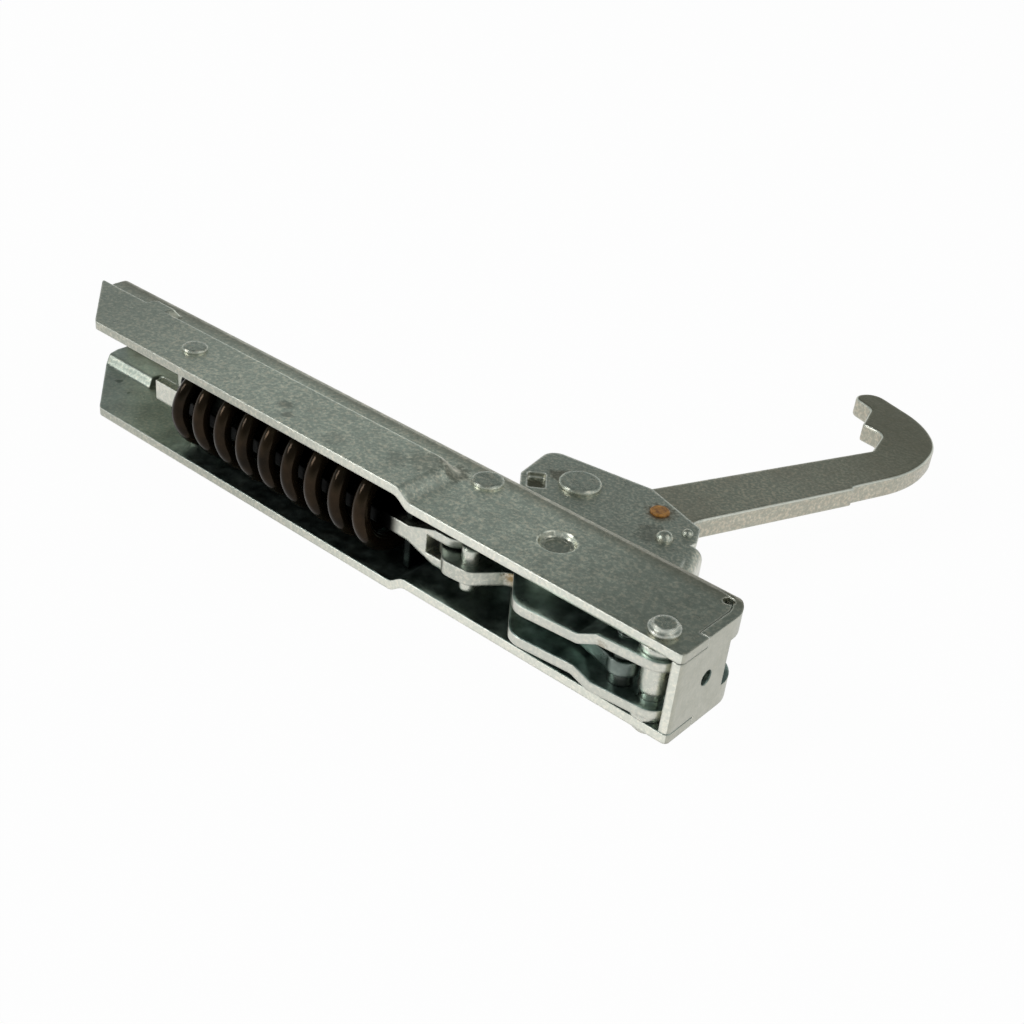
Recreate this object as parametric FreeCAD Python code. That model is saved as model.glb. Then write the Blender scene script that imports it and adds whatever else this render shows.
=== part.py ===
"""Oven door hinge: a folded case with a spring-loaded rod, and a hooked lever on a pivot at the case's end.

The hinge lies on its side. X runs along the case, from the spring at minus X to the end cap at X = 0.
Y runs from the open side of the case to its web, and Z = 0 is the mid-plane that both side plates mirror.
"""
import FreeCAD, Part
import math
import os

V = FreeCAD.Vector
UP = V(0, 0, 1)

# Folded case
sheet = 1.8                 # thickness of the case's sheet
case_half = 9.0             # half of the height over the flat plates
case_width = 22.2           # open edge to the outside of the web
bend_out = 2.2              # outside radius of the folds between the web and the plates
cap_bend = 6.5              # outside radius of the end cap's fold
case_far_end = 167.0        # length at the web
case_near_end = 149.6       # length at the open edge
end_slant_y = 13.6          # where the slanted cut at the spring end stops
end_bevel = 4.0             # length of the bevel beyond it
end_bevel_in = 1.2
corner_round = 2.0          # radius of the open edge's corners at the spring end
cap_corner = 1.0            # the same at the end cap
bulge = 2.0                 # how far the spring's panels are pressed outward
bulge_from_cap = 60.5       # end cap to the middle of the pressed step
bulge_step = 4.0            # length of the pressed step along the case
bulge_edge = 14.0           # width of the pressed panel
bulge_flank = 2.0           # width of the panel's sloped flank
panel_round = 4.0           # corner radius of the pressed panel
lobe_from_cap = 147.8       # end cap to the middle of the panel's side lobe
lobe_length = 6.0
lobe_out = 2.4              # how far the lobe reaches past the panel
lobe_round = 1.0
seam = 0.2                  # open seam between the plates and the end cap
cap_overlap = 7.3           # stretch of the end cap that the plates lie over
relief_r = 1.1              # corner relief between a plate and the cap's fold
end_hole_r = 1.5            # hole for a 3.5 mm sheet-metal screw in the end cap
end_hole_y = 9.2            # its distance from the open edge

# Pivot, at the end of the case
pivot = V(-6.1, 3.4, 0)
pivot_r = 2.0
pivot_sleeve_r = 2.6
pivot_washer_r = 3.6
pivot_head_r = 2.8
pivot_cap_r = 2.1           # upper step of the head
pivot_step = 0.8            # height of each step
run_fit = 0.05              # radial play of a pin that turns in its hole
press_play = 0.01           # radial play of a riveted shank
face_play = 0.05            # play between flat faces that are stacked on a pin

# Lever: two side plates and the bridge, folded from one sheet
lever_sheet = 1.8
lever_gap = 4.5             # between the side plates
joggle = 1.65               # how far each plate is set outward at the pivot
joggle_clear = 0.5          # crank bush to the joggle's end
joggle_run = 3.5
lever_end_r = 4.0           # rounded end of the plates at the pivot
throat_r = 17.8             # clears the case's corner as the lever swings
neck_height = 3.7           # the neck's edge above the pivot
slot_play = 0.6             # side plate to the edge of the web's slot
bridge_foot = V(-15.7, 27.3, 0)     # outer line of the fold that joins the plates
bridge_top = V(-19.0, 35.9, 0)
bridge_bend = 2.7           # outside radius of that fold

# Hook arm, a flat plate between the side plates
arm_sheet = 4.2
arm_width = 12.0
arm_angle = math.radians(68.5)
arm_start = V(-27.1, 62.0, 0)   # a place on the arm's centre line
arm_soft = 0.5              # rounding of the arm's edges

# Crank pin, link and rod
crank_r = 6.0               # pivot to the crank pin
crank_angle = math.radians(185.0)
crank_pin_r = 1.5
crank_bush_r = 2.35
link_sheet = 2.8
link_eye_r = 3.0
peg = V(-47.0, 3.9, 0)      # guide peg through the link's lobe
peg_r = 1.7
peg_half = 4.6
rod_y = 7.65                # line of the spring and its rod
fork_pin_x = -53.6
fork_pin_r = 1.5
rod_half_width = 4.05
rod_half_sheet = 1.5
fork_half_sheet = 3.6
fork_eye_r = 4.4
fork_play = 0.5             # link to the fork's arms
wedge_from = 8.4            # fork pin to the start of the rod's wedge
wedge_run = 6.5
rod_left = -135.0
tail_half_sheet = 2.1

# Spring and its seats
wire_r = 1.75
spring_r = 6.9              # radius of the wire's centre line
spring_left = -123.1
pitch = 6.5
turns = 8.83
seat_sheet = 0.8
seat_half_width = 4.6
seat_half_height = 7.2
stop_sheet = 1.5
stop_half_width = 6.0
stop_clear = 0.45           # its ends to the inside of the pressed panels
stop_play = 1.0             # rod to the stop's notch, sideways
stop_lift = 0.35            # the same, up and down
stop_open = 2.5             # how far the stop reaches past the rod's line, to the open side
seat_play = 0.05            # between the spring and the faces that it presses on

# Pins and rivets that hold the case's plates
guide_pin_r = 1.0
guide_pin_gap = 0.15        # pin to the spring's seat
guide_head_r = 2.65
guide_play = 1.0            # play of the rod's fork on the guide pin
pillar_from_web = 5.55
pillar_x = -55.0
pillar_r = 2.4
pillar_shank_r = 1.8
pillar_head_r = 3.05
button = V(-33.9, 10.9, 0)
button_r = 4.6
button_shank_r = 2.2
button_head_r = 3.2
button_play = 0.3           # to the lever's side plate
head_height = 0.7

# Rivets of the lever
big_rivet = V(-48.1, 36.4, 0)
big_rivet_r = 2.6
big_head_r = 4.2
arm_rivet = V(-32.0, 40.3, 0)
arm_rivet_r = 1.5
arm_head_r = 1.9
dome_rivets = (V(-26.1, 33.4, 0), V(-24.1, 38.0, 0))
dome_head_r = (1.85, 1.2)
dome_shank_r = 0.9
dome_play = 0.4             # round the shanks of the domed rivets, in the arm

inner_half = case_half - sheet
lever_in = lever_gap / 2
lever_out = lever_in + lever_sheet
wide_in = lever_in + joggle
wide_out = lever_out + joggle
crank = pivot + V(crank_r * math.cos(crank_angle), crank_r * math.sin(crank_angle), 0)
fork_pin = V(fork_pin_x, rod_y, 0)
seat_right = spring_left - wire_r - seat_play
seat_left = seat_right - seat_sheet
guide_pin = V(seat_left - guide_pin_gap - guide_pin_r, rod_y, 0)
spring_right = spring_left + pitch * turns + wire_r
stop_half_height = inner_half + bulge - stop_clear
pillar = V(pillar_x, case_width - pillar_from_web, 0)
bridge_along = (bridge_top - bridge_foot).normalize()
bridge_out = V(bridge_along.y, -bridge_along.x, 0)


def disc(centre, radius, z0, z1):
    """A cylinder along Z."""
    return Part.makeCylinder(radius, z1 - z0, V(centre.x, centre.y, z0), UP)


def ring(centre, outer, inner, z0, z1):
    """A washer or sleeve along Z."""
    return disc(centre, outer, z0, z1).cut(disc(centre, inner, z0 - 1, z1 + 1))


def box(x0, x1, y0, y1, z0, z1):
    """A box given by its limits."""
    return Part.makeBox(x1 - x0, y1 - y0, z1 - z0, V(x0, y0, z0))


def mirrored(shape):
    """The same piece on the other side of the mid-plane."""
    return shape.mirror(V(0, 0, 0), UP)


def corner_arc(before, corner, after, radius):
    """The arc that rounds one corner of an outline."""
    a = (before - corner).normalize()
    b = (after - corner).normalize()
    half = a.getAngle(b) / 2
    reach = radius / math.tan(half)
    middle = (a + b).normalize() * (radius / math.sin(half) - radius)
    return corner + a * reach, corner + middle, corner + b * reach


def outline(points):
    """A closed wire through (x, y) or (x, y, corner radius) points in the plane Z = 0."""
    corners = [V(p[0], p[1], 0) for p in points]
    radii = [p[2] if len(p) > 2 else 0 for p in points]
    edges = []
    ends = []
    for i, corner in enumerate(corners):
        if radii[i] == 0:
            ends.append((corner, corner))
            continue
        start, middle, end = corner_arc(corners[i - 1], corner, corners[(i + 1) % len(corners)], radii[i])
        edges.append(Part.Arc(start, middle, end).toShape())
        ends.append((start, end))
    for i in range(len(ends)):
        a = ends[i][1]
        b = ends[(i + 1) % len(ends)][0]
        if a.distanceToPoint(b) > 1e-6:
            edges.append(Part.makeLine(a, b))
    return Part.Wire(Part.__sortEdges__(edges))


def plate(points, z0, z1):
    """A flat plate with the given outline."""
    face = Part.Face(outline(points))
    face.translate(V(0, 0, z0))
    return face.extrude(V(0, 0, z1 - z0))


def polar(centre, radius, degrees):
    """A point on a circle, as (x, y)."""
    a = math.radians(degrees)
    return centre.x + radius * math.cos(a), centre.y + radius * math.sin(a)


def rivet(centre, shank, head, half, height):
    """A rivet through the whole stack, with a flat head of softened rim on both sides."""
    body = disc(centre, shank, -half, half)
    cap = disc(centre, head, half, half + height)
    rim = [e for e in cap.Edges if e.BoundBox.ZMin > half + height / 2]
    cap = cap.makeFillet(height * 0.6, rim[:1])
    return body.fuse([cap, mirrored(cap)]).removeSplitter()


def pressed(inset, plan):
    """A pressed-out pad over the upper plate; plan(share) is its outline from the foot (0) to the top (1)."""
    levels = []
    for share in (0, 0.2, 0.4, 0.6, 0.8, 1):
        wire = outline(plan(share))
        wire.translate(V(0, 0, case_half - inset + bulge * share * share * (3 - 2 * share)))
        levels.append(wire)
    return Part.makeLoft(levels, True, True)


def spring_panel(inset):
    """The spring's raised panel with its side lobe, drawn in from the outer skin by inset."""
    shift = inset * math.tan(math.atan2(bulge, bulge_step) / 2)
    drop = inset * math.tan(math.atan2(bulge, bulge_flank) / 2)
    x_foot = -bulge_from_cap + bulge_step / 2 - shift
    y_foot = bulge_edge + bulge_flank - drop
    far = -case_far_end - 20

    def panel(share):
        x = x_foot - bulge_step * share
        y = y_foot - bulge_flank * share
        return [(far, -20), (x, -20), (x, y, panel_round - share), (far, y)]

    def lobe(share):
        half = lobe_length / 2 + bulge_flank / 2 - drop - bulge_flank * share / 2
        left = -lobe_from_cap - half
        right = -lobe_from_cap + half
        y = y_foot + lobe_out - bulge_flank * share
        low = bulge_edge - bulge_flank - panel_round
        return [(left, low), (right, low), (right, y, lobe_round), (left, y, lobe_round)]

    block = pressed(inset, panel)
    under = box(far, x_foot, -20, y_foot - panel_round, 0, case_half - inset)
    return block.fuse([pressed(inset, lobe), under]).removeSplitter()


def plan_round(inset):
    """Prism of the case's plan with the end cap's round fold, drawn in by inset."""
    far = -case_far_end - 30
    wall = case_width - inset
    return plate([(far, -30), (-inset, -30), (-inset, wall, cap_bend - inset), (far, wall)], -40, 40)


def skin(inset):
    """The solid bounded by the case's outer surface, or by its inner one when inset is the sheet."""
    half = case_half - inset
    wall = case_width - inset
    body = box(-case_far_end - 20, 5, -20, wall, -half, half)
    folds = [e for e in body.Edges if e.BoundBox.YMin > wall - 0.01 and e.BoundBox.XLength > 1]
    body = body.makeFillet(bend_out - inset, folds)
    panel = spring_panel(inset)
    body = body.fuse([panel, mirrored(panel)]).removeSplitter()
    return body.common(plan_round(inset))


def case_plan():
    """Prism of the case's outline, with the slanted cut at the spring end and rounded open corners."""
    return plate([(0, 0, cap_corner), (0, case_width + 5), (-case_far_end, case_width + 5),
                  (-case_far_end, end_slant_y + end_bevel, corner_round * 0.75),
                  (-case_far_end + end_bevel_in, end_slant_y, corner_round),
                  (-case_near_end, 0, corner_round)], -40, 40)


def cap_seams():
    """The open seams that part the upper plate from the end cap, with the relief in the corner."""
    low = inner_half - seam
    top = case_half + 1
    under = box(-sheet - seam, 1, -1, cap_overlap, low, inner_half)
    step = box(-sheet - seam, 1, cap_overlap, cap_overlap + seam, low, top)
    slit = plan_round(sheet).cut(plan_round(sheet + seam))
    slit = slit.common(box(-cap_bend, 1, cap_overlap, case_width + 1, low, top))
    reach = (cap_bend - sheet - relief_r / 2) * math.sqrt(0.5)
    hole = disc(V(-cap_bend + reach, case_width - cap_bend + reach, 0), relief_r, low - 1, top)
    return under.fuse([step, slit, hole])


def slot_left():
    """Where the closed lever meets the end of the web's slot."""
    foot, head = lever_left_edge()
    share = (case_width - foot[1]) / (head[1] - foot[1])
    return foot[0] + share * (head[0] - foot[0]) - 0.5


def web_slot():
    """The slot that the lever swings in, through the web and the fold of the end cap."""
    half = lever_out + slot_play
    slot = box(slot_left(), 1, case_width - sheet - 1, case_width + 1, -half, half)
    ends = [e for e in slot.Edges if e.BoundBox.XMax < slot_left() + 0.01 and e.BoundBox.YLength > 1]
    corner = box(-cap_bend, 1, case_width - cap_bend - slot_play, case_width + 1, -half, half)
    return slot.makeFillet(1.5, ends).fuse(corner)


def case_channel():
    """One folded sheet: web, end cap, two plates with their pressed panels, and every hole."""
    shell = skin(0).cut(skin(sheet)).common(case_plan())
    cuts = [web_slot(), cap_seams(), mirrored(cap_seams())]
    cuts.append(Part.makeCylinder(end_hole_r, 3 * sheet, V(-2 * sheet, end_hole_y, 0), V(1, 0, 0)))
    for place, radius in ((pivot, pivot_r), (guide_pin, guide_pin_r), (pillar, pillar_shank_r),
                          (button, button_shank_r)):
        cuts.append(disc(place, radius + press_play, -30, 30))
    for cutter in cuts:
        shell = shell.cut(cutter)
    return max(shell.Solids, key=lambda s: s.Volume)


def lever_left_edge():
    """The straight left edge of the side plates, from the inner corner to the outer one."""
    return (-31.5, -3.4), (-58.6, 31.2)


def lever_outline():
    """Plan of a side plate: pivot end, neck, throat round the case's corner, and the outer plate."""
    foot, head = lever_left_edge()
    end_x = pivot.x + lever_end_r
    end_y = pivot.y - lever_end_r
    throat_x = pivot.x - math.sqrt(throat_r ** 2 - neck_height ** 2)
    fold_foot = bridge_foot - bridge_out * bridge_bend
    fold_top = bridge_top - bridge_out * bridge_bend
    return [(foot[0], foot[1], 4.5), (end_x, end_y, lever_end_r * 0.9),
            (end_x, pivot.y + neck_height, lever_end_r * 0.85),
            (throat_x, pivot.y + neck_height, throat_r * 0.09),
            polar(pivot, throat_r * 1.056, 150) + (throat_r * 0.42,),
            polar(pivot, throat_r * 1.056, 112) + (throat_r * 0.3,),
            (fold_foot.x, fold_foot.y, 1.0), (fold_top.x, fold_top.y), (-21.2, 36.6, 0.5),
            (-23.4, 41.3, 1.2), (-37.9, 46.3, 2.0), (-60.6, 43.0, 3.0), (head[0], head[1], 2.0)]


def joggled_strip():
    """The upper plate's sheet before its outline is cut: set outward at the pivot, flat beyond the throat."""
    shift = lever_sheet * math.tan(math.atan2(joggle, joggle_run) / 2)
    x1 = crank.x - crank_bush_r - joggle_clear - shift
    x0 = x1 - joggle_run
    low = [(-90, lever_in), (x0 + shift, lever_in, 1.0), (x1 + shift, wide_in, 1.0), (20, wide_in)]
    high = [(20, wide_out), (x1, wide_out, 1.0), (x0, lever_out, 1.0), (-90, lever_out)]
    split = pivot.y + throat_r / 2
    slab = plate(low + high, -split, 80)
    slab.rotate(V(0, 0, 0), V(1, 0, 0), 90)
    return slab.fuse(box(-90, 20, split, 80, lever_in, lever_out)).removeSplitter()


def lever_window():
    """Oblong window near the outer corner of the upper side plate."""
    window = box(-3.0, 3.0, -1.75, 1.75, 0, 20)
    corners = [e for e in window.Edges if e.BoundBox.ZLength > 10]
    window = window.makeFillet(0.6, corners)
    window.rotate(V(0, 0, 0), UP, 128)
    window.translate(V(-54.9, 31.5, 0))
    return window


def lever_bridge():
    """The fold that joins both side plates outside the case: a U with rounded bends."""
    length = bridge_foot.distanceToPoint(bridge_top)
    deep = bridge_bend + lever_sheet
    outer = box(-deep, 0, 0, length, -lever_out, lever_out)
    bends = [e for e in outer.Edges if e.BoundBox.XMin > -0.01 and e.BoundBox.YLength > 1]
    outer = outer.makeFillet(bridge_bend, bends)
    inner = box(-deep - 1, -lever_sheet, -1, length + 1, -lever_in, lever_in)
    bends = [e for e in inner.Edges if e.BoundBox.XMin > -lever_sheet - 0.01 and e.BoundBox.YLength > 1]
    bridge = outer.cut(inner.makeFillet(bridge_bend - lever_sheet, bends))
    bridge.rotate(V(0, 0, 0), UP, math.degrees(math.atan2(bridge_out.y, bridge_out.x)))
    bridge.translate(bridge_foot)
    return bridge


def lever_bracket():
    """Both side plates and the bridge, one folded piece."""
    upper = plate(lever_outline(), 0, 30).common(joggled_strip())
    bracket = upper.fuse([mirrored(upper), lever_bridge()]).removeSplitter()
    holes = [disc(pivot, pivot_r + run_fit, -30, 30), disc(crank, crank_pin_r + press_play, -30, 30)]
    holes += [disc(big_rivet, big_rivet_r + press_play, -30, 30)]
    holes += [disc(arm_rivet, arm_rivet_r + press_play, -30, 30)]
    holes += [disc(place, dome_shank_r + press_play, -30, 30) for place in dome_rivets]
    for hole in holes:
        bracket = bracket.cut(hole)
    return bracket.cut(lever_window())


def on_arm(along, across):
    """A place on the arm, measured along its centre line and to its left."""
    c = math.cos(arm_angle)
    s = math.sin(arm_angle)
    return arm_start.x + along * c - across * s, arm_start.y + along * s + across * c


def hook_arm():
    """The flat arm: a root between the side plates, a straight bar, and the beaked hook."""
    w = arm_width / 2
    root = [on_arm(-20.5, w + 1.6) + (2.0,), (-58.4, 41.8, 3.0), (-57.9, 35.2, 0.8), (-55.0, 35.2, 1.0),
            (-50.4, 29.9, 1.5), (-44.0, 29.4, 3.0), (-28.6, 32.0, 3.0), on_arm(-14, -w) + (10.0,)]
    bar = [on_arm(24, -w) + (0.6,), on_arm(24.4, -w + 0.7) + (0.6,)]
    hook = [on_arm(41.8, -w + 1.0) + (30.0,), on_arm(54.5, 2.5) + (17.0,), on_arm(59.1, 12.4) + (21.0,),
            on_arm(58.5, 28.3) + (3.7,), on_arm(51.9, 28.3) + (2.6,), on_arm(52.0, 21.6) + (2.5,),
            on_arm(45.2, 16.4) + (0.8,), on_arm(46.4, 11.0) + (3.0,), on_arm(38.8, w - 0.2) + (1.5,)]
    arm = plate(root + bar + hook, -arm_sheet / 2, arm_sheet / 2)
    rims = [e for e in arm.Edges if e.BoundBox.ZLength < 0.01]
    arm = arm.makeFillet(arm_soft, rims)
    arm = arm.cut(disc(big_rivet, big_rivet_r + press_play, -30, 30))
    arm = arm.cut(disc(arm_rivet, arm_rivet_r + press_play, -30, 30))
    for place in dome_rivets:
        arm = arm.cut(disc(place, dome_shank_r + dome_play, -30, 30))
    return arm


def pivot_pin():
    """Shouldered pin through both plates, with the stepped heads that show on the case."""
    step = case_half + pivot_step
    head = disc(pivot, pivot_head_r, case_half, step)
    head = head.fuse(disc(pivot, pivot_cap_r, step, step + pivot_step))
    body = disc(pivot, pivot_r, -case_half, case_half)
    return body.fuse([head, mirrored(head)]).removeSplitter()


def pivot_sleeve():
    """Spacer on the pin between the side plates, stopping short of the lower one."""
    return ring(pivot, pivot_sleeve_r, pivot_r + press_play, -wide_in + 1.5, wide_in - face_play)


def pivot_washer():
    """Washer that fills the room between the upper side plate and the case."""
    return ring(pivot, pivot_washer_r, pivot_r + run_fit, wide_out + face_play, inner_half - face_play)


def crank_pin():
    """Pin through both side plates that pulls the link."""
    return rivet(crank, crank_pin_r, crank_pin_r + 0.5, wide_out, 0.5)


def crank_bush():
    """Bush that centres the link between the side plates."""
    return ring(crank, crank_bush_r, crank_pin_r + press_play, link_sheet / 2 + face_play,
                wide_in - face_play)


def link_plate():
    """Cranked link: an eye in the rod's fork, a lobe for the peg, and an eye on the crank pin."""
    half = link_sheet / 2
    eye = link_eye_r
    spine = [(fork_pin.x - 1.0, fork_pin.y + eye, 3.0), (-46.0, 15.4, 10.0), (-34.0, 15.0, 9.0),
             (crank.x + 1.5, crank.y + eye, 2.0), (crank.x + 0.5, crank.y - eye, 2.0),
             (-22.0, 2.6, 8.0), (-33.0, 9.6, 5.0), (-40.35, 5.85, 2.0), (-44.6, 0.7, 2.5),
             (-50.4, 0.2, 2.5), (fork_pin.x - 1.0, fork_pin.y - eye, 2.5)]
    link = plate(spine, -half, half)
    link = link.fuse([disc(crank, eye, -half, half), disc(fork_pin, eye, -half, half)]).removeSplitter()
    for place, radius in ((crank, crank_pin_r + run_fit), (fork_pin, fork_pin_r + run_fit),
                          (peg, peg_r + press_play)):
        link = link.cut(disc(place, radius, -30, 30))
    return link


def link_peg():
    """Peg staked through the link, with rounded ends."""
    body = disc(peg, peg_r, -peg_half, peg_half)
    rims = [e for e in body.Edges if e.BoundBox.ZLength < 0.01]
    return body.makeFillet(0.8, rims)


def rod_side_view():
    """Thickness of the rod along X: tail, bar inside the spring, wedge and fork."""
    fork_start = fork_pin.x - wedge_from
    tail_end = seat_left - seat_play
    right = fork_pin.x + fork_eye_r
    up = [(rod_left, tail_half_sheet, 0.5), (tail_end, tail_half_sheet), (tail_end, rod_half_sheet),
          (fork_start, rod_half_sheet, 2.0), (fork_start + wedge_run, fork_half_sheet, 1.5),
          (right, fork_half_sheet)]
    down = [(p[0], -p[1]) + tuple(p[2:]) for p in reversed(up)]
    side = plate(up + down, -80, 80)
    side.rotate(V(0, 0, 0), V(1, 0, 0), 90)
    return side


def spring_rod():
    """Flat bar with a plain fork on the guide pin and a forked eye for the link."""
    w = rod_half_width
    right = fork_pin.x + fork_eye_r
    plan = plate([(rod_left, rod_y - w, 0.6), (right, rod_y - w, w * 0.9),
                  (right, rod_y + w, w * 0.9), (rod_left, rod_y + w, 0.6)], -20, 20)
    rod = plan.common(rod_side_view())
    clear = guide_pin_r + guide_play
    slot = disc(guide_pin, clear, -20, 20)
    slot = slot.fuse(box(rod_left - 5, guide_pin.x, rod_y - clear, rod_y + clear, -20, 20))
    gap = link_sheet / 2 + fork_play
    fork = box(fork_pin.x - link_eye_r - 0.8, right + 5, rod_y - 20, rod_y + 20, -gap, gap)
    return rod.cut(slot).cut(fork).cut(disc(fork_pin, fork_pin_r + press_play, -30, 30))


def spring_plate(x0, x1, half_width, half_height):
    """A stamped plate with rounded corners across the rod's line."""
    flat = box(x0, x1, rod_y - half_width, rod_y + half_width, -half_height, half_height)
    corners = [e for e in flat.Edges if e.BoundBox.XLength > (x1 - x0) / 2]
    return flat.makeFillet(2.0, corners)


def spring_seat():
    """Seat that carries the spring's end on the shoulders of the rod's tail."""
    seat = spring_plate(seat_left, seat_right, seat_half_width, seat_half_height)
    wide = rod_half_width + run_fit
    high = rod_half_sheet + run_fit
    return seat.cut(box(seat_left - 1, seat_right + 1, rod_y - wide, rod_y + wide, -high, high))


def spring_stop():
    """Horseshoe that holds the spring's other end against the step of the case's panels."""
    x0 = spring_right + seat_play
    x1 = x0 + stop_sheet
    stop = spring_plate(x0, x1, stop_half_width, stop_half_height)
    wide = rod_half_width + stop_play
    high = rod_half_sheet + stop_lift
    stop = stop.cut(box(x0 - 1, x1 + 1, rod_y - 20, rod_y + wide, -high, high))
    return stop.cut(box(x0 - 1, x1 + 1, rod_y - 20, rod_y - stop_open, -20, 20))


def main_spring():
    """Compression spring of round wire, which starts on the open side of the case."""
    helix = Part.makeHelix(pitch, pitch * turns, spring_r)
    start = V(spring_r, 0, 0)
    wire = Part.Wire(Part.makeCircle(wire_r, start, V(0, 1, 0)))
    spring = Part.Wire(helix).makePipeShell([wire], True, True)
    spring.rotate(V(0, 0, 0), V(0, 1, 0), 90)
    spring.rotate(V(0, 0, 0), V(1, 0, 0), 270)
    spring.translate(V(spring_left, rod_y, 0))
    return spring


def pillar_pin():
    """Shouldered pillar that keeps the case's plates apart."""
    body = disc(pillar, pillar_r, -inner_half + face_play, inner_half - face_play)
    return body.fuse(rivet(pillar, pillar_shank_r, pillar_head_r, case_half, head_height)).removeSplitter()


def guide_button():
    """Riveted button that steadies the upper side plate of the lever."""
    pad = disc(button, button_r, lever_out + button_play, inner_half)
    rims = [e for e in pad.Edges if e.BoundBox.ZMax < lever_out + button_play + 0.01]
    pad = pad.makeFillet(0.8, rims)
    shank = disc(button, button_shank_r, inner_half, case_half)
    head = disc(button, button_head_r, case_half, case_half + head_height)
    rims = [e for e in head.Edges if e.BoundBox.ZMin > case_half + head_height / 2]
    return pad.fuse([shank, head.makeFillet(head_height * 0.6, rims[:1])]).removeSplitter()


def dome_rivet(place, radius):
    """Small rivet with domed heads through the side plates."""
    dome = Part.makeSphere(radius, V(place.x, place.y, lever_out - radius * 0.25))
    dome = dome.common(disc(place, radius, lever_out, lever_out + radius))
    shank = disc(place, dome_shank_r, -lever_out, lever_out)
    return shank.fuse([dome, mirrored(dome)]).removeSplitter()


def export(node, shape):
    """Writes one piece, with the origin moved to the end cap's hole."""
    moved = shape.copy()
    moved.translate(V(0, -end_hole_y, 0))
    moved.exportStep("parts/" + node + ".step")


def main():
    os.makedirs("parts", exist_ok=True)
    export("case_channel", case_channel())
    export("lever_bracket", lever_bracket())
    export("hook_arm", hook_arm())
    export("main_rivet", rivet(big_rivet, big_rivet_r, big_head_r, lever_out, 1.0))
    export("arm_rivet", rivet(arm_rivet, arm_rivet_r, arm_head_r, lever_out, 0.5))
    for i, place in enumerate(dome_rivets):
        export("dome_rivet_%d" % (i + 1), dome_rivet(place, dome_head_r[i]))
    export("pivot_pin", pivot_pin())
    export("pivot_sleeve", pivot_sleeve())
    export("pivot_washer_upper", pivot_washer())
    export("pivot_washer_lower", mirrored(pivot_washer()))
    export("crank_pin", crank_pin())
    export("crank_bush_upper", crank_bush())
    export("crank_bush_lower", mirrored(crank_bush()))
    export("link_plate", link_plate())
    export("link_peg", link_peg())
    export("spring_rod", spring_rod())
    export("fork_pin", disc(fork_pin, fork_pin_r, -fork_half_sheet + 0.2, fork_half_sheet - 0.2))
    export("spring_seat", spring_seat())
    export("spring_stop", spring_stop())
    export("main_spring", main_spring())
    export("guide_pin", rivet(guide_pin, guide_pin_r, guide_head_r, case_half + bulge, head_height))
    export("pillar_pin", pillar_pin())
    export("guide_button_upper", guide_button())
    export("guide_button_lower", mirrored(guide_button()))


main()
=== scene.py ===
import bmesh
import bpy
import math
from functools import cached_property
from mathutils import Matrix, Vector


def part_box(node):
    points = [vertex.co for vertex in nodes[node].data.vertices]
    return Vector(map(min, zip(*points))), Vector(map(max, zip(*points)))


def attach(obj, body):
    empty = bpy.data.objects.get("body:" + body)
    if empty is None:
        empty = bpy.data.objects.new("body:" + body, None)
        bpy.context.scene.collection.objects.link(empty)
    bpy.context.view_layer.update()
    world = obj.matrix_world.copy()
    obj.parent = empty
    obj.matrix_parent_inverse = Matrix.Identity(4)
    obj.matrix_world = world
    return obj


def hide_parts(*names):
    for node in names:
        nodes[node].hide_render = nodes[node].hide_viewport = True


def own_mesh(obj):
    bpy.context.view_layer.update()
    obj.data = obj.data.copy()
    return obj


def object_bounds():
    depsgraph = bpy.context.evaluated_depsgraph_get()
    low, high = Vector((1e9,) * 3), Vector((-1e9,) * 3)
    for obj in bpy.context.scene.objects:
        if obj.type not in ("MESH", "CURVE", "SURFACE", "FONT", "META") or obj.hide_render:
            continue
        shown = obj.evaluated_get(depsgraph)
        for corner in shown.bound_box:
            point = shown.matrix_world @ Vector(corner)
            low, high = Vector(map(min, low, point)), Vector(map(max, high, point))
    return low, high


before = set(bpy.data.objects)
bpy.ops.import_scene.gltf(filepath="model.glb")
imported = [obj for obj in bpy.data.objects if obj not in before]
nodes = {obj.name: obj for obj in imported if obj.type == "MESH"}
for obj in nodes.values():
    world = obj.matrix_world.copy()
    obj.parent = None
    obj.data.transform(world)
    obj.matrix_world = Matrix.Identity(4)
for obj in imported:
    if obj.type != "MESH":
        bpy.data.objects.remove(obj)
cad_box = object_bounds()

MM = 0.001
ZINC_TINT = (1.0, 1.0, 0.85)
CUT_AND_SHEEN_TINT = (1.0, 1.0, 0.90)
WORN_AND_SHEEN_TINT = (1.0, 1.0, 0.92)
NOISE_ROUGHNESS = 0.6
BEVEL_SAMPLES = 6
BUMP_DEPTH = 0.2 * MM
FINE_EDGE = 0.2 * MM


class Nodes:
    """A node tree, with short ways to add nodes and join them."""

    def __init__(self, tree):
        self.tree = tree

    def add(self, kind, **inputs):
        node = self.tree.nodes.new(kind)
        for key, value in inputs.items():
            self.feed(node.inputs[key], value)
        return node

    def feed(self, socket, value):
        if isinstance(value, bpy.types.NodeSocket):
            self.tree.links.new(value, socket)
        else:
            socket.default_value = value

    def math(self, operation, a, b=0.0):
        node = self.add("ShaderNodeMath")
        node.operation = operation
        self.feed(node.inputs[0], a)
        self.feed(node.inputs[1], b)
        return node.outputs[0]

    def times(self, a, b):
        return self.math("MULTIPLY", a, b)

    def above(self, value, limit):
        return self.math("GREATER_THAN", value, limit)

    def below(self, value, limit):
        return self.math("LESS_THAN", value, limit)

    def ramp(self, value, low, high, to_low=0.0, to_high=1.0):
        """A smooth step from to_low at low to to_high at high."""
        node = self.add("ShaderNodeMapRange")
        node.interpolation_type = "SMOOTHSTEP"
        self.feed(node.inputs[0], value)
        for i, number in enumerate((low, high, to_low, to_high)):
            node.inputs[i + 1].default_value = number
        return node.outputs[0]


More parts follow.
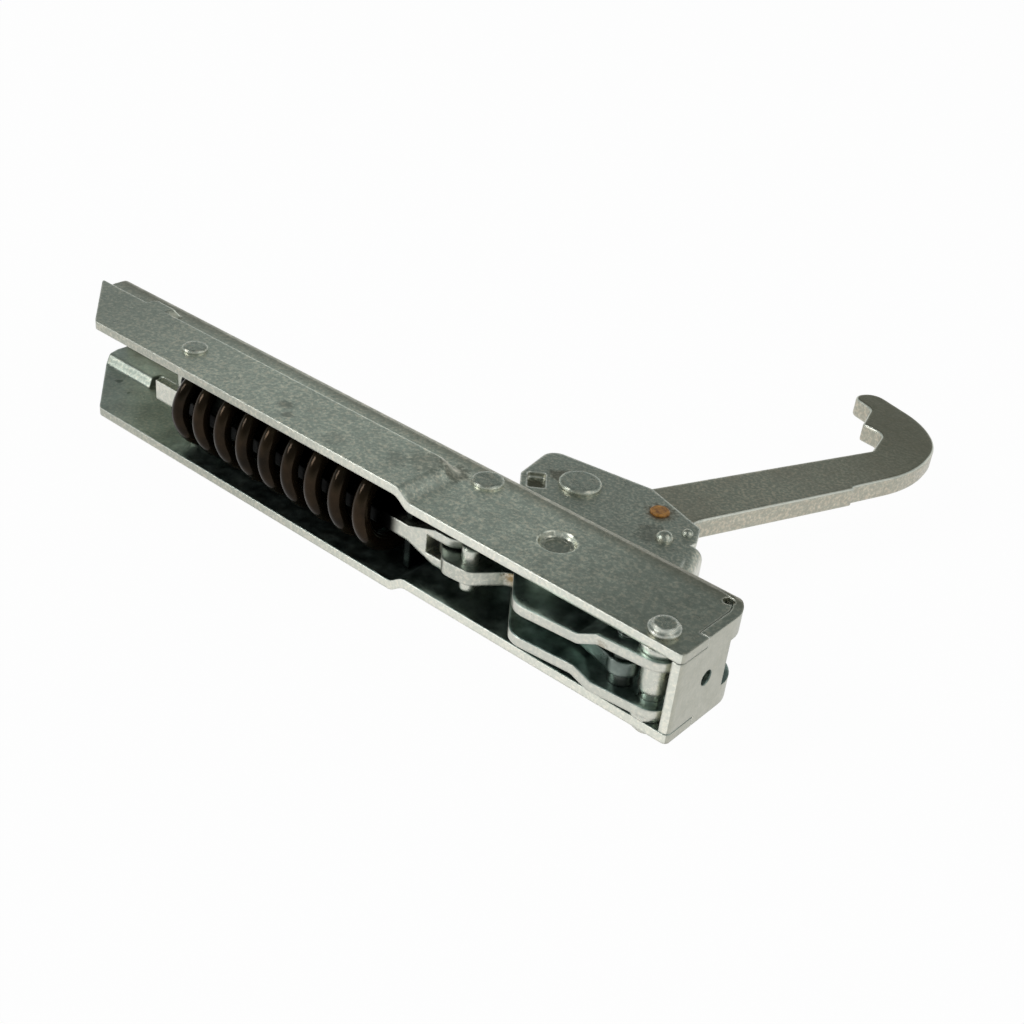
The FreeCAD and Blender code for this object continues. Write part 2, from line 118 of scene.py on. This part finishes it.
class Look(Nodes):
    """A procedural material, built up as layers of colour."""

    def __init__(self, name):
        self.mat = bpy.data.materials.new(name)
        self.mat.use_nodes = True
        super().__init__(self.mat.node_tree)
        self.bsdf = self.tree.nodes["Principled BSDF"]
        self.colour = None

    @cached_property
    def place(self):
        """Point on the piece, in metres. It stays with the piece when that moves."""
        return self.add("ShaderNodeTexCoord").outputs["Object"]

    @cached_property
    def spot(self):
        """X, Y and Z of the point."""
        return self.add("ShaderNodeSeparateXYZ", Vector=self.place).outputs

    @cached_property
    def normal(self):
        """Direction that the flat face looks in, without bump or rounding."""
        return self.add("ShaderNodeNewGeometry").outputs["True Normal"]

    @cached_property
    def facing(self):
        """X, Y and Z of that direction."""
        return self.add("ShaderNodeSeparateXYZ", Vector=self.normal).outputs

    @cached_property
    def level(self):
        """1 on faces that lie flat, up or down, and 0 on upright ones."""
        return self.math("ABSOLUTE", self.facing["Z"])

    def stretched(self, scale):
        return self.add("ShaderNodeMapping", Vector=self.place, Scale=scale).outputs[0]

    def noise(self, scale, detail, vector=None):
        node = self.add("ShaderNodeTexNoise", Scale=scale, Detail=detail, Roughness=NOISE_ROUGHNESS)
        self.feed(node.inputs["Vector"], vector or self.place)
        return node.outputs["Fac"]

    def mix(self, factor, a, b):
        node = self.add("ShaderNodeMix")
        node.data_type = "RGBA"
        self.feed(node.inputs[0], factor)
        self.feed(node.inputs[6], a)
        self.feed(node.inputs[7], b)
        return node.outputs[2]

    def paint(self, colour):
        self.colour = colour
        self.feed(self.bsdf.inputs["Base Color"], colour)

    def cover(self, mask, colour):
        """Lays one more colour over those below it, as much as the mask says."""
        self.paint(self.mix(mask, self.colour, colour))

    def near(self, spot, radius, wobble):
        """1 at a spot, falling to 0 at a ragged radius; both are in millimetres."""
        reach = radius * MM
        node = self.add("ShaderNodeVectorMath")
        node.operation = "DISTANCE"
        self.feed(node.inputs[0], self.place)
        node.inputs[1].default_value = [c * MM for c in spot]
        away = self.math("ADD", node.outputs["Value"], self.times(wobble, reach * 0.9))
        return self.ramp(away, reach * 0.65, reach * 1.35, 1.0, 0.0)

    def rounded(self, radius):
        """Direction of the surface, with its edges rounded by a radius in metres."""
        node = self.add("ShaderNodeBevel", Radius=radius)
        node.samples = BEVEL_SAMPLES
        return node.outputs[0]

    def surface(self, height, strength, normal):
        """Bump from a height field, over a direction such as rounded() gives."""
        bump = self.add("ShaderNodeBump", Height=height, Strength=strength, Distance=BUMP_DEPTH)
        self.feed(bump.inputs["Normal"], normal)
        self.feed(self.bsdf.inputs["Normal"], bump.outputs[0])


def grey(value, tint):
    return (value * tint[0], value * tint[1], value * tint[2], 1.0)


def zinc(name, level, rough, streaks=None, stains=(), tint=ZINC_TINT, soften=0.6 * MM, bright=0.5,
         dim_to=-200 * MM, wear_and_sheen=0.5):
    """Zinc-plated sheet: finely speckled green and brown, with bright cut edges and worn corners, both
    partly painted highlight, and stains.

    A stain is a spot and a radius in millimetres, an amount and a colour. streaks are scales that draw noise
    out into bands. bright is how pale the upright faces, the cut edges, are painted: bare metal and painted
    highlight in one. They are palest from X = dim_to on, and a painted shade dulls them 60 mm before it.
    wear_and_sheen is how pale the corners that soften rounds are painted: wear and painted highlight in one.
    """
    look = Look(name)
    cloud = look.noise(scale=70.0, detail=5.0)
    patch = look.noise(scale=420.0, detail=4.0)
    speck = look.noise(scale=1300.0, detail=2.0)
    fleck = look.noise(scale=1500.0, detail=3.0)
    cool = (tint[0] * 0.90, tint[1] * 1.02, tint[2] * 1.05)
    warm = (tint[0] * 1.10, tint[1] * 0.99, tint[2] * 0.94)

    # Mottled plating, from wide clouds to fine specks.
    look.paint(look.mix(look.ramp(cloud, 0.3, 0.7), grey(level * 0.92, tint), grey(level * 1.08, tint)))
    look.cover(look.ramp(patch, 0.35, 0.7, 0.0, 0.25), grey(level * 1.2, cool))
    look.cover(look.ramp(fleck, 0.40, 0.60, 0.75, 0.0), grey(level * 0.62, cool))
    look.cover(look.ramp(fleck, 0.52, 0.66, 0.0, 0.65), grey(level * 1.25, warm))
    look.cover(look.ramp(speck, 0.3, 0.7, 0.40, 0.0), grey(level * 0.55, tint))
    if streaks:
        lines = look.noise(scale=1.0, detail=3.0, vector=look.stretched(streaks))
        look.cover(look.ramp(lines, 0.35, 0.75, 0.0, 0.4), grey(level * 0.62, warm))

    # Bare metal and painted highlight on the cut edges, painted shade on them towards low X, worn corners
    # with painted highlight, then stains over all of it.
    upright = look.ramp(look.level, 0.3, 0.6, 1.0, 0.0)
    # Painted shade: the pale upright faces dull towards low X.
    lit = look.ramp(look.spot["X"], dim_to - 60 * MM, dim_to)
    look.cover(look.times(upright, bright), look.mix(lit, grey(0.30, tint), grey(0.84, CUT_AND_SHEEN_TINT)))
    rounded = look.rounded(soften)
    bend = look.add("ShaderNodeVectorMath")
    bend.operation = "DOT_PRODUCT"
    look.feed(bend.inputs[0], rounded)
    look.feed(bend.inputs[1], look.normal)
    # Painted highlight with wear: the rounded corners are painted pale.
    look.cover(look.ramp(bend.outputs["Value"], 0.82, 0.99, wear_and_sheen, 0.0), grey(0.88, WORN_AND_SHEEN_TINT))
    for spot, radius, amount, shade in stains:
        ragged = look.math("SUBTRACT", look.math("ADD", patch, fleck), 1.0)
        mask = look.near(spot, radius, look.times(ragged, 1.3))
        look.cover(look.times(mask, amount), shade)

    look.bsdf.inputs["Metallic"].default_value = 1.0
    look.feed(look.bsdf.inputs["Roughness"], look.ramp(patch, 0.25, 0.75, rough - 0.07, rough + 0.1))
    look.surface(look.math("ADD", speck, look.times(cloud, 2.0)), strength=0.14, normal=rounded)
    return look


def oiled_and_shaded(look, mask, shade_film=0.24):
    """Covers part of a piece with a cloudy dark coat, oil and painted shade in one, and gives the finished
    material.
    """
    dark = (shade_film * 0.28, shade_film * 0.38, shade_film * 0.35, 1.0)
    pale = (shade_film * 1.0, shade_film * 1.24, shade_film * 1.13, 1.0)
    cloud = look.noise(scale=170.0, detail=3.0)
    look.cover(mask, look.mix(look.ramp(cloud, 0.3, 0.7), dark, pale))
    return look.mat


def case_look():
    """The case's sheet: stains on its plates, dim ends, a cap darkened with painted shade, and a dark inside
    of oil and painted shade.
    """
    dull = (0.11, 0.11, 0.085, 1.0)
    brown = (0.05, 0.040, 0.025, 1.0)
    rust = (0.13, 0.085, 0.04, 1.0)
    dim = (0.14, 0.145, 0.115, 1.0)
    grime = (0.22, 0.185, 0.125, 1.0)
    cap_shade = (0.31, 0.31, 0.255, 1.0)
    stains = [
        ((-97.5, -3.5, 11), 1.5, 0.45, dull),
        ((-94, -6, 11), 1.1, 0.45, dull),
        ((-82, -6, 11), 2.0, 0.2, dull),
        ((-69, -2, 11), 2.4, 0.25, dull),
        ((-61, 5, 10), 2.8, 0.5, rust),
        ((-65, 2, 10.5), 3.4, 0.25, rust),
        # Painted shade: the floor of the dimple is darkened.
        ((-33.9, 1.7, 7.9), 2.9, 0.5, dull),
        ((-157, 1.4, -9.2), 0.8, 0.95, brown),
        ((-151.2, -0.5, -9.2), 0.35, 0.9, brown),
    ]
    look = zinc("zinc_case", level=0.82, rough=0.34, stains=stains, bright=0.6, dim_to=-50 * MM)
    x, y, z = (look.spot[axis] for axis in "XYZ")
    facing = look.facing

    # The upper plate is dim towards both ends and grimy along its far edge, and the cap, which faces along
    # +X, is darkened with painted shade.
    left_end = look.ramp(x, -160 * MM, -100 * MM, 0.52, 0.0)
    right_end = look.ramp(x, -45 * MM, -5 * MM, 0.0, 0.55)
    look.cover(look.times(look.math("MAXIMUM", left_end, right_end), look.above(facing["Z"], 0.7)), dim)
    far_strip = look.ramp(y, 7 * MM, 11 * MM, 0.0, 0.55)
    look.cover(look.times(far_strip, look.ramp(facing["Z"], 0.3, 0.6)), grime)
    look.cover(look.times(look.above(facing["X"], 0.7), 0.7), cap_shade)

    # Oil and painted shade lie on the inner faces of the plates and of the web, with less of the shade at
    # the open left end.
    plate_inside = look.below(look.times(z, facing["Z"]), -1 * MM)
    web_inside = look.times(look.below(facing["Y"], -0.3), look.above(y, 0.0))
    web_inside = look.times(web_inside, look.below(look.math("ABSOLUTE", z), 7.2 * MM))
    inside = look.math("MAXIMUM", plate_inside, web_inside)
    # Painted shade: darker deeper inside the case than at its open end.
    shade_depth = look.ramp(x, -138 * MM, -119 * MM, 0.35, 0.97)
    return oiled_and_shaded(look, look.times(inside, shade_depth), shade_film=0.4)


def lever_look():
    """The lever's sheet: a window painted dark as shade, a few stains, and oil with painted shade between
    its plates and in the case.
    """
    window = (0.09, 0.075, 0.04, 1.0)
    umber = (0.10, 0.065, 0.03, 1.0)
    brown = (0.16, 0.075, 0.022, 1.0)
    tan = (0.30, 0.22, 0.12, 1.0)
    dark = (0.07, 0.05, 0.03, 1.0)
    stains = [
        # Painted shade: the floor of the window is painted dark.
        ((-54.9, 22.3, 2.8), 2.0, 0.8, window),
        ((-52.6, 27.0, 4), 2.2, 0.55, umber),
        ((-32, 31.1, 4), 2.9, 0.55, brown),
        ((-14, -9.4, 4), 1.5, 0.85, tan),
        ((-28.5, 23.5, 4), 3.0, 0.35, dark),
    ]
    look = zinc("zinc_lever", level=0.54, rough=0.34, stains=stains, soften=0.8 * MM)
    flat = look.above(look.level, 0.5)
    # Oil and painted shade: flat faces inside the case and between the plates are darkened.
    in_case = look.ramp(look.spot["Y"], 9.5 * MM, 12.5 * MM, 0.9, 0.0)
    between = look.below(look.times(look.spot["Z"], look.facing["Z"]), 0.0)
    return oiled_and_shaded(look, look.times(flat, look.math("MAXIMUM", in_case, between)), shade_film=0.6)


def arm_look():
    """The hook's plate: bands that its punching left, a darker hook and a pale rim, a painted highlight on
    its sloped faces.
    """
    hook_brown = (0.16, 0.145, 0.09, 1.0)
    look = zinc("zinc_arm", level=0.48, rough=0.36, streaks=(120.0, 120.0, 2500.0), tint=(1.06, 1.0, 0.80),
                soften=1.1 * MM, bright=0.12, wear_and_sheen=0.7)
    hook = look.ramp(look.spot["Y"], 60 * MM, 105 * MM, 0.0, 0.75)
    look.cover(look.times(hook, look.above(look.level, 0.7)), hook_brown)
    # Painted highlight: the sloped faces of the rim are painted pale.
    rim = look.times(look.ramp(look.level, 0.3, 0.6), look.ramp(look.level, 0.95, 0.99, 0.8, 0.0))
    look.cover(rim, grey(0.85, CUT_AND_SHEEN_TINT))
    return look.mat


def link_look():
    """The link: a bright cut edge, partly painted highlight, golden grease on it where it goes into the
    lever, and faces dark with oil and painted shade, most inside the lever.
    """
    grease = ((-38.6, -4.2, 0), 1.8, 0.85, (0.26, 0.15, 0.03, 1.0))
    look = zinc("zinc_link", level=0.54, rough=0.32, bright=0.3, stains=[grease])
    # Oil and painted shade: the flat faces, and most where the link goes into the lever.
    faces = look.times(look.above(look.level, 0.5), 0.75)
    in_lever = look.ramp(look.spot["X"], -38 * MM, -36 * MM, 0.0, 0.9)
    return oiled_and_shaded(look, look.math("MAXIMUM", faces, in_lever))


def rod_look():
    """The rod: clean at both ends, black inside the spring with oil and painted shade."""
    look = zinc("zinc_rod", level=0.54, rough=0.32)
    # Painted shade with oil: the rod is black where the spring's coils surround it.
    after_left = look.ramp(look.spot["X"], -126.5 * MM, -124.5 * MM)
    before_right = look.ramp(look.spot["X"], -66.5 * MM, -63.5 * MM, 1.0, 0.0)
    return oiled_and_shaded(look, look.math("MINIMUM", after_left, before_right), shade_film=0.002)


def spring_look():
    """Oiled spring wire, nearly black with brown."""
    black = (0.010, 0.007, 0.004, 1.0)
    brown = (0.034, 0.021, 0.011, 1.0)
    look = Look("spring_wire")
    cloud = look.noise(scale=120.0, detail=4.0)
    speck = look.noise(scale=900.0, detail=2.0)
    look.paint(look.mix(look.ramp(cloud, 0.3, 0.7), black, brown))
    look.bsdf.inputs["Metallic"].default_value = 0.6
    look.bsdf.inputs["Specular IOR Level"].default_value = 0.16
    look.feed(look.bsdf.inputs["Roughness"], look.ramp(speck, 0.3, 0.7, 0.12, 0.20))
    look.surface(speck, strength=0.08, normal=look.rounded(FINE_EDGE))
    return look.mat


def grease_look():
    """Old orange-brown grease."""
    brown = (0.16, 0.055, 0.010, 1.0)
    orange = (0.55, 0.25, 0.05, 1.0)
    look = Look("grease")
    cloud = look.noise(scale=700.0, detail=3.0)
    look.paint(look.mix(look.ramp(cloud, 0.3, 0.7), brown, orange))
    look.feed(look.bsdf.inputs["Roughness"], look.ramp(cloud, 0.2, 0.8, 0.25, 0.5))
    look.surface(cloud, strength=0.2, normal=look.rounded(FINE_EDGE))
    return look.mat


def dress(names, material):
    for name in names:
        mesh = nodes[name].data
        mesh.materials.clear()
        mesh.materials.append(material)


def dress_cad():
    """Gives every CAD node its material, apart from the spring, which coil() replaces."""
    dress(["case_channel"], case_look())
    dress(["lever_bracket"], lever_look())
    dress(["hook_arm"], arm_look())
    dress(["link_plate"], link_look())
    dress(["spring_rod"], rod_look())
    # Painted shade with oil: the spring's seat and stop are near black all over.
    dress(["spring_seat", "spring_stop"],
          oiled_and_shaded(zinc("zinc_black", level=0.50, rough=0.32), mask=1.0, shade_film=0.012))
    # Painted shade with oil: the pins and bushes inside the lever are darkened.
    dress(["crank_bush_upper", "crank_bush_lower", "crank_pin", "fork_pin"],
          oiled_and_shaded(zinc("zinc_oiled_shaded", level=0.50, rough=0.32), mask=0.9, shade_film=0.09))
    dress(["arm_rivet"], grease_look())
    clean = ("dome_rivet", "main_rivet", "pivot", "guide", "pillar", "link_peg")
    dress([name for name in nodes if name.startswith(clean)],
          zinc("zinc_rivet", level=0.56, rough=0.28, soften=0.9 * MM).mat)


def ring_faces(rings, around):
    """Four-sided faces that join each ring of points to the next."""
    faces = []
    for ring in range(rings - 1):
        for k in range(around):
            a = ring * around + k
            b = ring * around + (k + 1) % around
            faces.append((a, b, b + around, a + around))
    return faces


def add_piece(name, mesh):
    piece = bpy.data.objects.new(name, mesh)
    bpy.context.scene.collection.objects.link(piece)
    return piece


def turned(name, centre, profile):
    """A closed solid turned about the vertical through centre.

    profile goes from axis to axis, each point a radius in millimetres and a height in metres.
    """
    around = 64
    weld = 1e-7
    flat_from = 0.999
    points = []
    for radius, height in profile:
        for k in range(around):
            t = 2 * math.pi * k / around
            x = centre[0] + radius * MM * math.cos(t)
            y = centre[1] + radius * MM * math.sin(t)
            points.append((x, y, height))
    mesh = bpy.data.meshes.new(name)
    mesh.from_pydata(points, [], ring_faces(len(profile), around))
    solid = bmesh.new()
    solid.from_mesh(mesh)
    bmesh.ops.remove_doubles(solid, verts=solid.verts, dist=weld)
    bmesh.ops.dissolve_degenerate(solid, edges=solid.edges, dist=weld)
    bmesh.ops.recalc_face_normals(solid, faces=solid.faces)
    solid.to_mesh(mesh)
    solid.free()
    smooth = [abs(face.normal.z) < flat_from for face in mesh.polygons]
    mesh.polygons.foreach_set("use_smooth", smooth)
    return add_piece(name, mesh)


def combine(node, tool, operation):
    """Cuts a hidden tool out of a CAD node or joins it on, and lets the tool move with the node."""
    tool.parent = nodes[node]
    tool.hide_render = True
    tool.hide_set(True)
    step = nodes[node].modifiers.new(tool.name, "BOOLEAN")
    step.operation = operation
    step.object = tool


def dimple():
    """The round recess that is pressed into the upper plate, and the button whose face is its floor."""
    cad_head = 0.7 * MM
    depth = 1.1 * MM
    rim_radius = 3.8
    from_floor = [(0.0, 0.0), (2.8, 0.0), (2.98, 0.06), (3.15, 0.25)]
    from_top = [(3.3, -0.5), (3.45, -0.22), (3.6, -0.07), (rim_radius, 0.02)]
    low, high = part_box("guide_button_upper")
    centre = ((low.x + high.x) / 2, (low.y + high.y) / 2)
    top = high.z - cad_head
    floor = top - depth
    recess = [(radius, floor + rise * MM) for radius, rise in from_floor]
    recess += [(radius, top + rise * MM) for radius, rise in from_top]
    recess += [(rim_radius, high.z), (0.0, high.z)]
    combine("case_channel", turned("dimple_cutter", centre, recess), "DIFFERENCE")

    body_radius = 4.6
    chamfer = 0.8
    stem_radius = 2.2
    shoulder = floor - 0.45 * MM
    face = floor + 0.005 * MM
    profile = [
        (0.0, low.z),
        (body_radius - chamfer, low.z),
        (body_radius, low.z + chamfer * MM),
        (body_radius, shoulder),
        (stem_radius, shoulder),
        (stem_radius, face),
        (0.0, face),
    ]
    button = turned("pressed_button", centre, profile)
    button.data.materials.append(nodes["case_channel"].data.materials[0])
    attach(button, "case")
    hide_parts("guide_button_upper")


def window_shade_floor():
    """The dark floor of the lever's oblong window, a membrane inside the sheet that stands in for the shade
    there; the lever's stains paint it dark.
    """
    centre = Vector((-54.9, 22.3, 2.55)) * MM
    turn = Matrix.Rotation(math.radians(128), 4, "Z")
    size = Matrix.Diagonal((6.3 * MM, 3.8 * MM, 0.5 * MM, 1.0))
    bpy.ops.mesh.primitive_cube_add(size=1.0)
    tool = bpy.context.object
    tool.name = "window_shade_floor"
    tool.data.transform(Matrix.Translation(centre) @ turn @ size)
    combine("lever_bracket", tool, "UNION")


def coil():
    """The spring as a fine swept wire with a closed end turn, in place of the coarser CAD one."""
    wire = 1.75 * MM
    turns = 8.83
    closed = 0.3
    phase = 0.75
    per_turn = 72
    around = 20
    low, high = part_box("main_spring")
    middle_y = (low.y + high.y) / 2
    radius = (high.y - low.y) / 2 - wire
    start = low.x + wire
    length = high.x - low.x - 2 * wire
    steps = int((turns + closed) * per_turn)
    points = []
    for i in range(steps + 1):
        turn = (turns + closed) * i / steps - closed
        angle = 2 * math.pi * (turn + phase)
        outward = Vector((0.0, math.sin(angle), -math.cos(angle)))
        centre = Vector((start + length * max(turn, 0.0) / turns, middle_y, 0.0)) + radius * outward
        slope = length / (2 * math.pi * turns) if turn > 0 else 0.0
        along = Vector((slope, radius * math.cos(angle), radius * math.sin(angle))).normalized()
        side = along.cross(outward)
        for k in range(around):
            t = 2 * math.pi * k / around
            points.append(centre + wire * (math.cos(t) * outward + math.sin(t) * side))
    faces = ring_faces(steps + 1, around)
    faces.append(tuple(range(around - 1, -1, -1)))
    faces.append(tuple(range(steps * around, (steps + 1) * around)))
    mesh = bpy.data.meshes.new("coil_spring")
    mesh.from_pydata(points, [], faces)
    mesh.polygons.foreach_set("use_smooth", [True] * len(mesh.polygons))
    mesh.update()
    mesh.materials.append(spring_look())
    piece = add_piece("coil_spring", mesh)
    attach(piece, "case")
    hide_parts("main_spring")
    # At the lever's limit the rod has pulled the spring's left end 5.26 mm along.
    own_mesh(piece)


def stage_floor():
    """White floor that fills the picture and keeps a faint shadow."""
    side = 16.0
    gap = 0.2 * MM
    glow_shares = (("Is Camera Ray", 0.97), ("Is Glossy Ray", 0.9), ("Is Transmission Ray", 0.9))
    bpy.ops.mesh.primitive_plane_add(size=side, location=(-0.06, 0.05, cad_box[0][2] - gap))
    floor = bpy.context.object
    floor.name = "floor"
    look = Look("floor_white")
    look.paint((0.92, 0.92, 0.92, 1.0))
    look.bsdf.inputs["Roughness"].default_value = 0.9
    look.bsdf.inputs["Specular IOR Level"].default_value = 0.0
    path = look.add("ShaderNodeLightPath").outputs
    share = 0.0
    for name, amount in glow_shares:
        share = look.math("MAXIMUM", share, look.times(path[name], amount))
    blend = look.add("ShaderNodeMixShader", Fac=share)
    look.feed(blend.inputs[1], look.bsdf.outputs[0])
    look.feed(blend.inputs[2], look.add("ShaderNodeEmission").outputs[0])
    look.feed(look.tree.nodes["Material Output"].inputs["Surface"], blend.outputs[0])
    floor.data.materials.append(look.mat)


def lamp(name, place, size, power):
    """A square lamp that points at the middle of the part."""
    target = Vector((-0.07, 0.03, 0.0))
    data = bpy.data.lights.new(name, "AREA")
    data.size = size
    data.energy = power
    obj = bpy.data.objects.new(name, data)
    bpy.context.scene.collection.objects.link(obj)
    obj.location = place
    obj.rotation_euler = (target - Vector(place)).to_track_quat("-Z", "Y").to_euler()


def light_scene():
    """A pale horizon under a dimmer sky, a soft lamp from the front left and a weak one from the right."""
    world = bpy.context.scene.world or bpy.data.worlds.new("world")
    bpy.context.scene.world = world
    world.use_nodes = True
    kit = Nodes(world.node_tree)
    sky = kit.tree.nodes["Background"]
    towards = kit.add("ShaderNodeTexCoord").outputs["Generated"]
    height = kit.add("ShaderNodeSeparateXYZ", Vector=towards).outputs["Z"]
    tone = kit.add("ShaderNodeValToRGB", Fac=height)
    horizon, ceiling = tone.color_ramp.elements
    horizon.position = 0.05
    horizon.color = (0.98, 0.98, 0.98, 1.0)
    ceiling.position = 0.30
    ceiling.color = (0.89, 1.0, 0.98, 1.0)
    kit.feed(sky.inputs["Color"], tone.outputs[0])
    kit.feed(sky.inputs["Strength"], kit.ramp(height, 0.10, 0.50, 1.0, 0.24))
    lamp("key", (-0.84, -0.87, 0.95), size=0.5, power=6.0)
    lamp("fill", (1.0, 0.3, 1.3), size=1.2, power=5.0)


def photo_camera():
    """The photograph's camera, fitted to the case's edges."""
    picture_side = 1024
    focal_pixels = 1423.247
    right = Vector((0.75831274, 0.64348795, 0.10433144))
    up = Vector((-0.40419439, 0.33855202, 0.84971137))
    back = Vector((0.51145741, -0.68651714, 0.51682253))
    place = (0.08347364, -0.16997843, 0.13914537)
    data = bpy.data.cameras.new("photo_camera")
    data.sensor_width = 36.0
    data.lens = data.sensor_width * focal_pixels / picture_side
    data.clip_start = 0.01
    camera = bpy.data.objects.new("photo_camera", data)
    bpy.context.scene.collection.objects.link(camera)
    turn = Matrix((right, up, back)).transposed().to_4x4()
    camera.matrix_world = Matrix.Translation(place) @ turn
    bpy.context.scene.camera = camera


dress_cad()
dimple()
window_shade_floor()
coil()
stage_floor()
light_scene()
photo_camera()
bpy.context.scene.view_settings.view_transform = "Standard"
